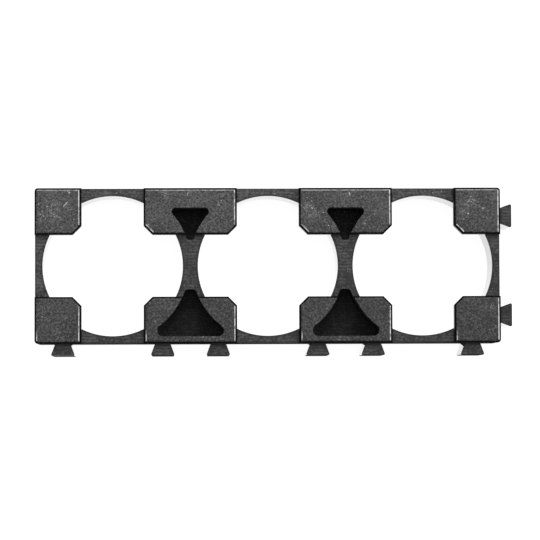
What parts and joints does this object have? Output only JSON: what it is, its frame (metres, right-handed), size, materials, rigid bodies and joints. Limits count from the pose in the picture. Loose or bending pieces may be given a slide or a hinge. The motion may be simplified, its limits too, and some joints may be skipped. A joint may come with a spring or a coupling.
{
  "type": "battery cell holder bracket",
  "caption": "Moulded bracket that holds a row of cylindrical cells by their ends, with corner stops, weld strip channels and dovetail tabs that join like brackets.",
  "frame": {"origin": "on the middle bore's axis, in the plane of the cell side's flat face", "axes": "+X along the row towards the end that has tabs, +Y towards the side that has sockets, +Z towards the strip side"},
  "size_m": [0.0624, 0.0218, 0.0075],
  "materials": {
    "black_abs": "fine moulded grain with small scuffs"
  },
  "bodies": {
    "root": {"cell_holder_bracket": "black_abs"}
  },
  "joints": []
}
